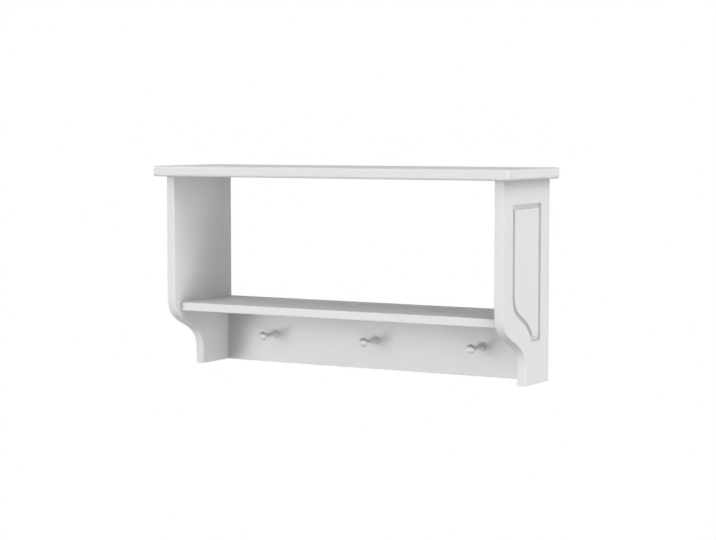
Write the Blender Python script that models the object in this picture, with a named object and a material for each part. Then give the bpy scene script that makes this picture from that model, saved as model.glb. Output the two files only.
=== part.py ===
"""Wall shelf: a rounded top board, two ogee-cut uprights, a lower shelf and a rail with turned pegs.

The frame has +X to the right, +Y into the wall and +Z up. The wall is the plane y = 0.
The origin lies on the back of the peg rail, so the boards are placed from the height of the lower shelf.
"""

import math
from collections import defaultdict, namedtuple

import bmesh
import bpy
from mathutils import Matrix, Vector
from mathutils.geometry import interpolate_bezier

# Top board
TOP_WIDTH = 0.750
TOP_DEPTH = 0.217
TOP_THICKNESS = 0.020
TOP_OVERHANG = 0.019
TOP_CORNER_RADIUS = 0.0065
TOP_EDGE_RADIUS = 0.005

# Uprights
SIDE_HEIGHT = 0.370
SIDE_DEPTH = 0.196
SIDE_THICKNESS = 0.018
LEG_DEPTH = 0.0995
OGEE_LEAD = 0.009
OGEE_DROP = 0.107
OGEE_HANDLE = 0.065
SIDE_EDGE_RADIUS = 0.0018

# Channel routed into the outer face of each upright
CHANNEL_WIDTH = 0.009
CHANNEL_DEPTH = 0.007
CHANNEL_INSET = 0.0425
CHANNEL_TOP_INSET = 0.0475
CHANNEL_LEAD = 0.041
CHANNEL_FALL = 0.044
CHANNEL_FOOT = 0.0305
CHANNEL_HANDLE = 0.052
CHANNEL_FOOT_SLANT = math.radians(25)

# Lower shelf and rail
SHELF_DROP = 0.243
SHELF_THICKNESS = 0.016
SHELF_SETBACK = 0.018
SHELF_EDGE_RADIUS = 0.002
RAIL_THICKNESS = 0.012
RAIL_EDGE_RADIUS = 0.0015
ORIGIN_BELOW_SHELF = 0.030

# Turned pegs
PEG_SPACING = 0.226
PEG_DROP = 0.055
PEG_LENGTH = 0.0515
PEG_FOOT_DIAMETER = 0.017
PEG_FOOT_THICKNESS = 0.0014
PEG_FLARE_DIAMETER = 0.0124
PEG_FLARE_REACH = 0.0036
PEG_WAIST_DIAMETER = 0.008
PEG_WAIST_FROM_TIP = 0.0245
PEG_WAIST_BACK = 0.012
PEG_WAIST_FRONT = 0.0135
PEG_HEAD_DIAMETER = 0.0177
PEG_HEAD_BACK_DIAMETER = 0.016
PEG_HEAD_THICKNESS = 0.0105
PEG_RIM_FROM_TIP = 0.0062
PEG_TIP_ROUNDING = 0.0028
PEG_TIP_FLAT_DIAMETER = 0.0098

# Countersunk screws that hold the pegs from behind the rail
PEG_SCREW_DIAMETER = 0.005
PEG_SCREW_HEAD = 0.0092
PEG_SCREW_LENGTH = 0.020
PEG_SCREW_TIP = 0.003
PEG_SCREW_SINK = 0.0005
PEG_SCREW_RECESS = 0.0024

# Wood dowels
DOWEL_DIAMETER = 0.008
TOP_DOWEL_LENGTH = 0.035
TOP_DOWEL_IN_TOP = 0.012
TOP_DOWEL_INSET = 0.035
SHELF_DOWEL_LENGTH = 0.030
SHELF_DOWEL_IN_SIDE = 0.010
SHELF_DOWEL_INSET = 0.028
RAIL_DOWEL_DIAMETER = 0.006
RAIL_DOWEL_LENGTH = 0.030
RAIL_DOWEL_IN_SIDE = 0.010
RAIL_DOWEL_IN_SHELF = 0.009
RAIL_DOWEL_INSET = 0.022
DOWEL_CHAMFER = 0.0008

# Keyhole plates let into the back edges of the uprights
HANGER_WIDTH = 0.015
HANGER_HEIGHT = 0.046
HANGER_THICKNESS = 0.0015
HANGER_DROP = 0.055
HANGER_CORNER_RADIUS = 0.003
KEYHOLE_DIAMETER = 0.009
KEYHOLE_SLOT_WIDTH = 0.0046
KEYHOLE_SLOT_RISE = 0.0095
KEYHOLE_DROP = 0.004
HANGER_POCKET_DEPTH = 0.008
HANGER_POCKET_MARGIN = 0.001
HANGER_SCREW_SPACING = 0.036
HANGER_SCREW_DIAMETER = 0.003
HANGER_SCREW_HEAD = 0.0058
HANGER_SCREW_LENGTH = 0.016
HANGER_SCREW_TIP = 0.001
HANGER_SCREW_SINK = 0.0002
HANGER_SCREW_RECESS = 0.0015

# Clearances
JOINT_GAP = 0.0003
DOWEL_CLEARANCE = 0.0003
DOWEL_END_GAP = 0.0006
SCREW_CLEARANCE = 0.0003
RECESS_CLEARANCE = 0.0003
OVERSHOOT = 0.002

# How finely curves and round pieces are divided
OGEE_STEPS = 13
PEG_CURVE_STEPS = 7
TOP_EDGE_STEPS = 4
EASED_EDGE_STEPS = 2
CORNER_STEPS = 3
PEG_SEGMENTS = 24
SCREW_SEGMENTS = 16
DOWEL_SEGMENTS = 12
SMOOTH_BELOW = math.radians(32)
SAME_POINT = 1e-6

# Heights and widths that follow from the sizes above
SHELF_BOTTOM = ORIGIN_BELOW_SHELF
SHELF_TOP = SHELF_BOTTOM + SHELF_THICKNESS
TOP_BOTTOM = SHELF_TOP + SHELF_DROP
SIDE_TOP = TOP_BOTTOM - JOINT_GAP
SIDE_BOTTOM = TOP_BOTTOM - SIDE_HEIGHT
RAIL_TOP = SHELF_BOTTOM - JOINT_GAP
RAIL_BOTTOM = SIDE_BOTTOM
PEG_HEIGHT = SHELF_BOTTOM - PEG_DROP
SIDE_OUTER_X = TOP_WIDTH / 2 - TOP_OVERHANG
SIDE_INNER_X = SIDE_OUTER_X - SIDE_THICKNESS
SIDE_MIDDLE_X = (SIDE_OUTER_X + SIDE_INNER_X) / 2
INSIDE_LENGTH = 2 * (SIDE_INNER_X - JOINT_GAP)
SHELF_DEPTH = SIDE_DEPTH - SHELF_SETBACK
SHELF_MIDDLE = (SHELF_TOP + SHELF_BOTTOM) / 2
HANGER_MIDDLE = SIDE_TOP - HANGER_DROP

ScrewSize = namedtuple("ScrewSize", "diameter head length tip recess")
PEG_SCREW = ScrewSize(
    PEG_SCREW_DIAMETER, PEG_SCREW_HEAD, PEG_SCREW_LENGTH, PEG_SCREW_TIP, PEG_SCREW_RECESS
)
HANGER_SCREW = ScrewSize(
    HANGER_SCREW_DIAMETER, HANGER_SCREW_HEAD, HANGER_SCREW_LENGTH, HANGER_SCREW_TIP, HANGER_SCREW_RECESS
)

SIDES = ("left", "right")
PEGS = (("left", -PEG_SPACING), ("middle", 0.0), ("right", PEG_SPACING))

# Each board's bores, filled in as the pieces that sit in them are placed
bores = defaultdict(list)


def hand_of(side):
    """The sign of x on one side."""
    return 1 if side == "right" else -1


def clear_scene():
    for obj in list(bpy.data.objects):
        bpy.data.objects.remove(obj, do_unlink=True)


def make_finish(name, colour, roughness, metallic=0.0):
    """A plain finish: base colour, roughness and how metallic it is."""
    material = bpy.data.materials.new(name)
    material.use_nodes = True
    shader = material.node_tree.nodes["Principled BSDF"]
    shader.inputs["Base Color"].default_value = (*colour, 1.0)
    shader.inputs["Roughness"].default_value = roughness
    shader.inputs["Metallic"].default_value = metallic
    return material


def add_piece(name, bm, material, location=(0, 0, 0), rotation=(0, 0, 0)):
    """Turns a bmesh into a named object under the shelf's own empty."""
    bmesh.ops.recalc_face_normals(bm, faces=bm.faces)
    mesh = bpy.data.meshes.new(name)
    bm.to_mesh(mesh)
    bm.free()
    mesh.materials.append(material)
    mesh.shade_smooth()
    mesh.set_sharp_from_angle(angle=SMOOTH_BELOW)
    obj = bpy.data.objects.new(name, mesh)
    obj.location = location
    obj.rotation_euler = rotation
    obj.parent = bpy.data.objects["wall_shelf"]
    bpy.context.collection.objects.link(obj)
    return obj


def cut_with(obj, name, bm):
    """Takes a hidden cutter, built in world coordinates, out of a piece."""
    bmesh.ops.recalc_face_normals(bm, faces=bm.faces)
    mesh = bpy.data.meshes.new(name)
    bm.to_mesh(mesh)
    bm.free()
    cutter = bpy.data.objects.new(name, mesh)
    cutter.hide_render = True
    cutter.display_type = "WIRE"
    bpy.context.collection.objects.link(cutter)
    modifier = obj.modifiers.new(name, "BOOLEAN")
    modifier.operation = "DIFFERENCE"
    modifier.solver = "EXACT"
    modifier.object = cutter


def add_block(bm, low, high):
    """A box between two corners."""
    low, high = Vector(low), Vector(high)
    size = high - low
    place = Matrix.Translation((low + high) / 2) @ Matrix.Diagonal((*size, 1.0))
    bmesh.ops.create_cube(bm, size=1.0, matrix=place)


def add_prism(bm, outline, direction):
    """A flat outline pulled along a direction, with both ends closed."""
    face = bm.faces.new([bm.verts.new(point) for point in outline])
    pulled = bmesh.ops.extrude_face_region(bm, geom=[face])["geom"]
    moved = [item for item in pulled if isinstance(item, bmesh.types.BMVert)]
    bmesh.ops.translate(bm, verts=moved, vec=direction)


def add_rod(bm, start, end, radius, segments):
    """A round rod between two points."""
    start, end = Vector(start), Vector(end)
    run = end - start
    turn = run.to_track_quat("Z", "Y").to_matrix().to_4x4()
    bmesh.ops.create_cone(
        bm,
        cap_ends=True,
        segments=segments,
        radius1=radius,
        radius2=radius,
        depth=run.length,
        matrix=Matrix.Translation((start + end) / 2) @ turn,
    )


def add_turning(bm, profile, segments):
    """A profile of (radius, height) pairs turned about Z. It starts and ends on the axis."""
    points = [bm.verts.new((radius, 0.0, height)) for radius, height in profile]
    edges = [bm.edges.new(pair) for pair in zip(points, points[1:])]
    bmesh.ops.spin(
        bm,
        geom=points + edges,
        cent=(0, 0, 0),
        axis=(0, 0, 1),
        angle=math.tau,
        steps=segments,
        use_duplicate=False,
    )
    bmesh.ops.remove_doubles(bm, verts=bm.verts, dist=SAME_POINT)


def ease_edges(bm, wanted, radius, segments):
    """Rounds every edge whose two ends pass the test."""
    bmesh.ops.bevel(
        bm,
        geom=[edge for edge in bm.edges if wanted(*(vert.co for vert in edge.verts))],
        offset=radius,
        offset_type="OFFSET",
        segments=segments,
        profile=0.5,
        affect="EDGES",
        clamp_overlap=True,
    )


def near(first, second):
    return abs(first - second) < SAME_POINT


def bezier(start, start_handle, end_handle, end, steps):
    """The points of a flat curve, both ends included."""
    return [tuple(point) for point in interpolate_bezier(start, start_handle, end_handle, end, steps)]


def bore(board, mouth, direction, radius, depth, segments):
    """Notes a blind bore. It starts a little outside the board so that its mouth is open."""
    direction = Vector(direction)
    start = Vector(mouth) - direction * OVERSHOOT
    bores[board].append((start, Vector(mouth) + direction * depth, radius, segments))


def drill(obj):
    """Cuts all the bores that were noted for one board."""
    bm = bmesh.new()
    for start, end, radius, segments in bores[obj.name]:
        add_rod(bm, start, end, radius, segments)
    cut_with(obj, obj.name + "_bores", bm)


def make_top_board(paint):
    bm = bmesh.new()
    half = TOP_WIDTH / 2
    add_block(bm, (-half, -TOP_DEPTH, 0), (half, 0, TOP_THICKNESS))

    def is_front_corner(a, b):
        return near(a.x, b.x) and near(a.y, -TOP_DEPTH) and near(b.y, a.y)

    def is_front_or_end(a, b):
        return near(a.z, b.z) and not (near(a.y, 0) and near(b.y, 0))

    ease_edges(bm, is_front_corner, TOP_CORNER_RADIUS, TOP_EDGE_STEPS)
    ease_edges(bm, is_front_or_end, TOP_EDGE_RADIUS, TOP_EDGE_STEPS)
    return add_piece("top_board", bm, paint, location=(0, 0, TOP_BOTTOM))


def side_outline():
    """An upright seen from the side, as (depth, height), from its back foot by the top and the ogee."""
    shoulder = (-SIDE_DEPTH, SHELF_TOP + OGEE_LEAD)
    toe = (-LEG_DEPTH, shoulder[1] - OGEE_DROP)
    below = (shoulder[0], shoulder[1] - OGEE_HANDLE)
    above = (toe[0], toe[1] + OGEE_HANDLE)
    back = [(0.0, SIDE_BOTTOM), (0.0, SIDE_TOP), (-SIDE_DEPTH, SIDE_TOP)]
    return back + bezier(shoulder, below, above, toe, OGEE_STEPS) + [(-LEG_DEPTH, SIDE_BOTTOM)]


def channel_path():
    """The channel's middle line as (depth, height), from its top back corner forward and round."""
    top = SIDE_TOP - CHANNEL_TOP_INSET
    front = -SIDE_DEPTH + CHANNEL_INSET
    start = (front, SHELF_TOP + CHANNEL_LEAD)
    end = (-CHANNEL_INSET - CHANNEL_FOOT, SHELF_TOP - CHANNEL_FALL)
    below = (front, start[1] - CHANNEL_HANDLE)
    lean = CHANNEL_HANDLE * math.sin(CHANNEL_FOOT_SLANT)
    above = (end[0] - lean, end[1] + CHANNEL_HANDLE * math.cos(CHANNEL_FOOT_SLANT))
    ogee = bezier(start, below, above, end, OGEE_STEPS)
    return [(-CHANNEL_INSET, top), (front, top)] + ogee + [(-CHANNEL_INSET, end[1])]


def directions(path, index):
    """The directions of a closed line just before and just after one of its points."""
    point = Vector(path[index])
    before = point - Vector(path[index - 1])
    after = Vector(path[(index + 1) % len(path)]) - point
    return before.normalized(), after.normalized()


def left_of(direction):
    return Vector((-direction.y, direction.x))


def offset_loop(path, distance):
    """A closed line moved sideways by a distance, with mitred corners."""
    moved = []
    for index, point in enumerate(path):
        before, after = directions(path, index)
        across = (left_of(before) + left_of(after)).normalized()
        moved.append(Vector(point) + across * distance / across.dot(left_of(before)))
    return moved


def channel_cutter(hand):
    """A closed ring that follows the channel, square in section, with mitred corners."""
    floor = hand * (SIDE_OUTER_X - CHANNEL_DEPTH)
    clear = hand * (SIDE_OUTER_X + OVERSHOOT)
    half = CHANNEL_WIDTH / 2
    path = channel_path()
    bm = bmesh.new()
    rings = []
    for x, sideways in ((floor, -half), (clear, -half), (clear, half), (floor, half)):
        loop = offset_loop(path, sideways)
        rings.append([bm.verts.new((x, *point)) for point in loop])
    for ring, following in zip(rings, rings[1:] + rings[:1]):
        for index in range(len(ring)):
            bm.faces.new((ring[index - 1], ring[index], following[index], following[index - 1]))
    return bm


def make_side_panel(name, hand, paint):
    bm = bmesh.new()
    add_prism(bm, [(0.0, *point) for point in side_outline()], (SIDE_THICKNESS, 0, 0))

    def is_open_edge(a, b):
        at_wall = near(a.y, 0) and near(b.y, 0)
        at_top = near(a.z, SIDE_TOP) and near(b.z, SIDE_TOP)
        return near(a.x, b.x) and not at_wall and not at_top

    ease_edges(bm, is_open_edge, SIDE_EDGE_RADIUS, EASED_EDGE_STEPS)
    left_face = min(hand * SIDE_INNER_X, hand * SIDE_OUTER_X)
    panel = add_piece(name, bm, paint, location=(left_face, 0, 0))
    cut_with(panel, name + "_channel", channel_cutter(hand))
    return panel


def make_lower_shelf(paint):
    bm = bmesh.new()
    half = INSIDE_LENGTH / 2
    add_block(bm, (-half, -SHELF_DEPTH, 0), (half, 0, SHELF_THICKNESS))

    def is_front_edge(a, b):
        return near(a.y, -SHELF_DEPTH) and near(b.y, a.y) and near(a.z, b.z)

    ease_edges(bm, is_front_edge, SHELF_EDGE_RADIUS, EASED_EDGE_STEPS)
    return add_piece("lower_shelf", bm, paint, location=(0, 0, SHELF_BOTTOM))


def make_peg_rail(paint):
    bm = bmesh.new()
    half = INSIDE_LENGTH / 2
    add_block(bm, (-half, -RAIL_THICKNESS, RAIL_BOTTOM), (half, 0, RAIL_TOP))

    def is_lower_front_edge(a, b):
        at_front = near(a.y, -RAIL_THICKNESS) and near(b.y, a.y)
        return at_front and near(a.z, RAIL_BOTTOM) and near(b.z, a.z)

    ease_edges(bm, is_lower_front_edge, RAIL_EDGE_RADIUS, EASED_EDGE_STEPS)
    return add_piece("peg_rail", bm, paint)


def dowel_profile(radius, length):
    """A dowel with a chamfer at both ends, as (radius, height)."""
    edge = radius - DOWEL_CHAMFER
    start = [(0.0, 0.0), (edge, 0.0), (radius, DOWEL_CHAMFER)]
    return start + [(radius, length - DOWEL_CHAMFER), (edge, length), (0.0, length)]


def seat_dowel(name, wood, seam, direction, diameter, length, boards, depth):
    """Seats a dowel across the seam of two boards, to the given depth into the second of them."""
    seam, direction = Vector(seam), Vector(direction)
    bm = bmesh.new()
    add_turning(bm, dowel_profile(diameter / 2, length), DOWEL_SEGMENTS)
    start = seam - direction * (length - depth)
    turn = direction.to_track_quat("Z", "Y").to_euler()
    add_piece(name, bm, wood, location=start, rotation=turn)
    radius = diameter / 2 + DOWEL_CLEARANCE
    bore(boards[0], seam, -direction, radius, length - depth + DOWEL_END_GAP, DOWEL_SEGMENTS)
    bore(boards[1], seam, direction, radius, depth + DOWEL_END_GAP, DOWEL_SEGMENTS)


def spread(first, last):
    """Front, middle and back places between two depths."""
    return (("front", first), ("middle", (first + last) / 2), ("back", last))


def seat_top_dowels(side, hand, wood):
    for place, depth in spread(-SIDE_DEPTH + TOP_DOWEL_INSET, -TOP_DOWEL_INSET):
        seat_dowel(
            f"top_dowel_{side}_{place}",
            wood,
            (hand * SIDE_MIDDLE_X, depth, SIDE_TOP + JOINT_GAP / 2),
            (0, 0, 1),
            DOWEL_DIAMETER,
            TOP_DOWEL_LENGTH,
            (f"{side}_side_panel", "top_board"),
            TOP_DOWEL_IN_TOP,
        )


def seat_shelf_dowels(side, hand, wood):
    for place, depth in spread(-SHELF_DEPTH + SHELF_DOWEL_INSET, -SHELF_DOWEL_INSET):
        seat_dowel(
            f"shelf_dowel_{side}_{place}",
            wood,
            (hand * (SIDE_INNER_X - JOINT_GAP / 2), depth, SHELF_MIDDLE),
            (hand, 0, 0),
            DOWEL_DIAMETER,
            SHELF_DOWEL_LENGTH,
            ("lower_shelf", f"{side}_side_panel"),
            SHELF_DOWEL_IN_SIDE,
        )


def seat_rail_end_dowels(side, hand, wood):
    upper, lower = RAIL_TOP - RAIL_DOWEL_INSET, RAIL_BOTTOM + RAIL_DOWEL_INSET
    for place, height in (("upper", upper), ("lower", lower)):
        seat_dowel(
            f"rail_end_dowel_{side}_{place}",
            wood,
            (hand * (SIDE_INNER_X - JOINT_GAP / 2), -RAIL_THICKNESS / 2, height),
            (hand, 0, 0),
            RAIL_DOWEL_DIAMETER,
            RAIL_DOWEL_LENGTH,
            ("peg_rail", f"{side}_side_panel"),
            RAIL_DOWEL_IN_SIDE,
        )


def seat_rail_top_dowel(side, hand, wood):
    seat_dowel(
        f"rail_top_dowel_{side}",
        wood,
        (hand * PEG_SPACING / 2, -RAIL_THICKNESS / 2, RAIL_TOP + JOINT_GAP / 2),
        (0, 0, 1),
        RAIL_DOWEL_DIAMETER,
        RAIL_DOWEL_LENGTH,
        ("peg_rail", "lower_shelf"),
        RAIL_DOWEL_IN_SHELF,
    )


def peg_profile():
    """A peg from its foot at the rail to its rounded tip, as (radius, distance from the rail)."""
    foot, flare, waist = PEG_FOOT_DIAMETER / 2, PEG_FLARE_DIAMETER / 2, PEG_WAIST_DIAMETER / 2
    back, rim, flat = PEG_HEAD_BACK_DIAMETER / 2, PEG_HEAD_DIAMETER / 2, PEG_TIP_FLAT_DIAMETER / 2
    ease = PEG_FOOT_THICKNESS / 2
    foot_end = (foot, PEG_FOOT_THICKNESS)
    flare_end = (flare, PEG_FOOT_THICKNESS + PEG_FLARE_REACH)
    waist_at = PEG_LENGTH - PEG_WAIST_FROM_TIP
    middle = (waist, waist_at)
    head_back = (back, PEG_LENGTH - PEG_HEAD_THICKNESS)
    rim_end = (rim, PEG_LENGTH - PEG_RIM_FROM_TIP)
    rounding = (rim, PEG_LENGTH - PEG_TIP_ROUNDING)
    tip = (0.0, PEG_LENGTH)
    base = [(0.0, 0.0), (foot - ease, 0.0), (foot, ease)]
    stem = bezier(foot_end, flare_end, (waist, waist_at - PEG_WAIST_BACK), middle, PEG_CURVE_STEPS)
    neck = bezier(middle, (waist, waist_at + PEG_WAIST_FRONT), head_back, rim_end, PEG_CURVE_STEPS)
    dome = bezier(rim_end, rounding, (flat, PEG_LENGTH), tip, PEG_CURVE_STEPS)
    return base + stem + neck[1:] + dome[1:]


def screw_profile(size, grow=0.0):
    """A countersunk screw from its tip up to the rim of its flat head, as (radius, height)."""
    shank = size.diameter / 2 + grow
    rim = size.head / 2 + grow
    tip = size.tip / 2 + grow
    taper = size.diameter - size.tip
    neck = size.length - (size.head - size.diameter) / 2
    return [(0.0, -grow), (tip, -grow), (shank, taper), (shank, neck), (rim, size.length)]


def screw_place(size, head_at):
    """Stands a screw so that it points away from the wall, with the face of its head at a point."""
    lie_down = Matrix.Rotation(-math.pi / 2, 4, "X")
    return Matrix.Translation(head_at) @ lie_down @ Matrix.Translation((0, 0, -size.length))


def add_cross(bm, height, arm):
    """A cross-shaped driver recess, cut down from a screw's flat head as deep as its arms are wide."""
    half = arm / 4
    depth = 2 * half
    outline = []
    for quarter in range(4):
        turn = Matrix.Rotation(quarter * math.pi / 2, 3, "Z")
        for corner in ((half, half, 0), (half, arm, 0), (-half, arm, 0)):
            outline.append(turn @ Vector(corner) + Vector((0, 0, height - depth)))
    add_prism(bm, outline, (0, 0, depth + OVERSHOOT))


def make_screw(name, steel, size, head_at):
    bm = bmesh.new()
    add_turning(bm, screw_profile(size) + [(0.0, size.length)], SCREW_SEGMENTS)
    place = screw_place(size, head_at)
    screw = add_piece(name, bm, steel, location=place.to_translation(), rotation=place.to_euler())
    cross = bmesh.new()
    add_cross(cross, size.length, size.recess)
    bmesh.ops.transform(cross, matrix=place, verts=cross.verts)
    cut_with(screw, name + "_recess", cross)


def screw_hole(obj, name, size, head_at):
    """Cuts the room for a screw: its own shape with clearance all round, open at the back."""
    bm = bmesh.new()
    profile = screw_profile(size, SCREW_CLEARANCE)
    rim = profile[-1][0]
    mouth = size.length + OVERSHOOT
    add_turning(bm, profile + [(rim, mouth), (0.0, mouth)], SCREW_SEGMENTS)
    bmesh.ops.transform(bm, matrix=screw_place(size, head_at), verts=bm.verts)
    cut_with(obj, name, bm)


def make_peg(place, x, metal, steel, rail):
    """A turned peg, the screw that holds it, and the holes for that screw."""
    bm = bmesh.new()
    add_turning(bm, peg_profile(), PEG_SEGMENTS)
    foot = (x, -RAIL_THICKNESS - JOINT_GAP, PEG_HEIGHT)
    peg = add_piece(f"peg_{place}", bm, metal, location=foot, rotation=(math.pi / 2, 0, 0))
    head_at = Vector((x, -PEG_SCREW_SINK, PEG_HEIGHT))
    make_screw(f"peg_screw_{place}", steel, PEG_SCREW, head_at)
    screw_hole(rail, f"peg_rail_hole_{place}", PEG_SCREW, head_at)
    screw_hole(peg, f"peg_{place}_thread", PEG_SCREW, head_at)


def make_hanger(side, hand, plate_steel, screw_steel, panel):
    """A keyhole plate, its two screws, and the recess that they sit in."""
    x = hand * SIDE_MIDDLE_X
    half = Vector((HANGER_WIDTH / 2, 0, HANGER_HEIGHT / 2))
    bm = bmesh.new()
    add_block(bm, -half - Vector((0, HANGER_THICKNESS, 0)), half)

    def is_corner(a, b):
        return near(a.x, b.x) and near(a.z, b.z)

    ease_edges(bm, is_corner, HANGER_CORNER_RADIUS, CORNER_STEPS)
    plate = add_piece(f"hanger_plate_{side}", bm, plate_steel, location=(x, 0, HANGER_MIDDLE))

    through = Vector((0, HANGER_THICKNESS + OVERSHOOT, 0))
    eye = Vector((x, 0, HANGER_MIDDLE - KEYHOLE_DROP))
    slot_end = eye + Vector((0, 0, KEYHOLE_SLOT_RISE))
    slot_half = Vector((KEYHOLE_SLOT_WIDTH / 2, 0, 0))
    ends = (("eye", eye, KEYHOLE_DIAMETER), ("slot_end", slot_end, KEYHOLE_SLOT_WIDTH))
    for part, centre, diameter in ends:
        bm = bmesh.new()
        add_rod(bm, centre - through, centre + through, diameter / 2, SCREW_SEGMENTS)
        cut_with(plate, f"hanger_{side}_{part}", bm)
    bm = bmesh.new()
    add_block(bm, eye - through - slot_half, slot_end + through + slot_half)
    cut_with(plate, f"hanger_{side}_slot", bm)

    grow = Vector((RECESS_CLEARANCE, 0, RECESS_CLEARANCE))
    seat = Vector((x, 0, HANGER_MIDDLE))
    recess = Vector((0, HANGER_THICKNESS + RECESS_CLEARANCE, 0))
    bm = bmesh.new()
    add_block(bm, seat - half - grow - recess, seat + half + grow + Vector((0, OVERSHOOT, 0)))
    cut_with(panel, f"{panel.name}_hanger_recess", bm)
    room = KEYHOLE_DIAMETER / 2 + HANGER_POCKET_MARGIN
    bm = bmesh.new()
    add_block(
        bm,
        eye - Vector((room, HANGER_POCKET_DEPTH + HANGER_THICKNESS, room)),
        slot_end + Vector((room, OVERSHOOT, KEYHOLE_SLOT_WIDTH / 2 + HANGER_POCKET_MARGIN)),
    )
    cut_with(panel, f"{panel.name}_hanger_pocket", bm)

    for place, sign in (("upper", 1), ("lower", -1)):
        head_at = seat + Vector((0, -HANGER_SCREW_SINK, sign * HANGER_SCREW_SPACING / 2))
        make_screw(f"hanger_screw_{side}_{place}", screw_steel, HANGER_SCREW, head_at)
        screw_hole(plate, f"hanger_{side}_hole_{place}", HANGER_SCREW, head_at)
        screw_hole(panel, f"{panel.name}_pilot_{place}", HANGER_SCREW, head_at)


def build():
    clear_scene()
    root = bpy.data.objects.new("wall_shelf", None)
    bpy.context.collection.objects.link(root)

    white = (0.80, 0.80, 0.79)
    top_paint = make_finish("top_board_paint", white, 0.38)
    side_paint = make_finish("side_panel_paint", white, 0.40)
    shelf_paint = make_finish("lower_shelf_paint", white, 0.38)
    rail_paint = make_finish("peg_rail_paint", white, 0.40)
    peg_metal = make_finish("peg_satin_metal", (0.68, 0.68, 0.676), 0.32, 1.0)
    screw_steel = make_finish("screw_zinc_steel", (0.55, 0.56, 0.57), 0.35, 1.0)
    plate_steel = make_finish("hanger_zinc_steel", (0.60, 0.61, 0.62), 0.32, 1.0)
    beech = make_finish("dowel_beech", (0.56, 0.37, 0.20), 0.65)

    boards = [make_top_board(top_paint), make_lower_shelf(shelf_paint)]
    rail = make_peg_rail(rail_paint)
    boards.append(rail)
    panels = {}
    for side in SIDES:
        hand = hand_of(side)
        panels[side] = make_side_panel(f"{side}_side_panel", hand, side_paint)
        boards.append(panels[side])
        seat_top_dowels(side, hand, beech)
        seat_shelf_dowels(side, hand, beech)
        seat_rail_end_dowels(side, hand, beech)
        seat_rail_top_dowel(side, hand, beech)
        make_hanger(side, hand, plate_steel, screw_steel, panels[side])
    for place, x in PEGS:
        make_peg(place, x, peg_metal, screw_steel, rail)
    for board in boards:
        drill(board)


build()
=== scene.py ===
# %% [markdown]
# This lesson dresses a white wall shelf: five painted boards, three turned metal pegs, and the small
# steel and beech parts that hold it together. The sizes come from a CAD model of the same shelf. It could
# be imported and painted as it is, but then every round edge would keep the coarse steps of that model.
# So the model is loaded as a fixed frame that nothing moves, and finer pieces are built at the places it
# gives.

# %% Load the frame
import math

import bmesh
import bpy
from mathutils import Matrix, Vector
from mathutils.geometry import interpolate_bezier, intersect_point_line


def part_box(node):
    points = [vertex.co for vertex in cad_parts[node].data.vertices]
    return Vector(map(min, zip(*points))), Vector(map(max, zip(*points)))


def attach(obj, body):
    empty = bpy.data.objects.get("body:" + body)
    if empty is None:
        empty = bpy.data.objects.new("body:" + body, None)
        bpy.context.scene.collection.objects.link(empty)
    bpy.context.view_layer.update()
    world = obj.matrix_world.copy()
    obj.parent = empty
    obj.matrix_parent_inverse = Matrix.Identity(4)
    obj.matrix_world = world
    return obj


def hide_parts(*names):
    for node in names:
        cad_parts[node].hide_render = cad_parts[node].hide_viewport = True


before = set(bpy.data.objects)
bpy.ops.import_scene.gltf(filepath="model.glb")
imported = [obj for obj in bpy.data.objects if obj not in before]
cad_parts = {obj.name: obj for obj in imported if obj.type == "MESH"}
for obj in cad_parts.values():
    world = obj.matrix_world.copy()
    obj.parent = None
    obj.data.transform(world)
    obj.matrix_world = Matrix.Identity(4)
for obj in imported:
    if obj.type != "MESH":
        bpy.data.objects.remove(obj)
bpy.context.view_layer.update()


def in_millimetres(points):
    """Points given in metres, for printing."""
    return [[round(1000 * value, 2) for value in point] for point in points]


scene = bpy.context.scene
scene.view_settings.view_transform = "Standard"
print("pieces in the frame:", len(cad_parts))

# %% [markdown]
# The shelf is seen from its right, a little above the top board, through a long lens: the boards that run
# back to the wall hardly draw together. A short lens from close by could frame it too, but it would
# spread the near upright. The place and the angles below come from fitting a camera to the edges of the
# boards.

# %% Camera
CAMERA_PLACE = (1.7099, -3.0954, 0.3696)
CAMERA_YAW = math.radians(29.55)
CAMERA_PITCH = math.radians(-4.215)
CAMERA_LENS = 92.816
SENSOR_WIDTH = 36.0

camera_data = bpy.data.cameras.new("front_right_view")
camera_data.sensor_width = SENSOR_WIDTH
camera_data.lens = CAMERA_LENS
camera = bpy.data.objects.new("front_right_view", camera_data)
scene.collection.objects.link(camera)
sight = Vector((
    -math.sin(CAMERA_YAW) * math.cos(CAMERA_PITCH),
    math.cos(CAMERA_YAW) * math.cos(CAMERA_PITCH),
    math.sin(CAMERA_PITCH),
))
camera.location = CAMERA_PLACE
camera.rotation_mode = "QUATERNION"
camera.rotation_quaternion = sight.to_track_quat("-Z", "Y")
scene.camera = camera
print("camera", round(camera.location.length, 2), "m from the middle of the rail")

# %% [markdown]
# Boards, pegs and screws are all made in one way here: closed rows of points, called rings, with quads
# between each ring and the next. A cube with a Bevel modifier would be quicker for one board. Rings are
# worth the extra lines because they also give the ogee of the uprights, the channel in them and all that
# is turned on a lathe.

# %% Rings and skins
def add_ring(bm, points):
    """A closed row of new vertices."""
    return [bm.verts.new(point) for point in points]


def add_skin(bm, rings):
    """Quads from each ring to the next."""
    for first, second in zip(rings, rings[1:]):
        for index in range(len(first)):
            bm.faces.new((first[index - 1], first[index], second[index], second[index - 1]))


def add_solid(bm, rings):
    """A skin over the rings, closed with a flat face at both ends."""
    add_skin(bm, rings)
    bm.faces.new(rings[0])
    bm.faces.new(rings[-1])


def quarter_round(radius, steps):
    """A rounded edge as (how far set in, how far risen), from the flat face round to the side."""
    turns = [math.pi / 2 * step / steps for step in range(steps + 1)]
    return [(radius * (1 - math.sin(turn)), radius * (1 - math.cos(turn))) for turn in turns]


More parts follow.
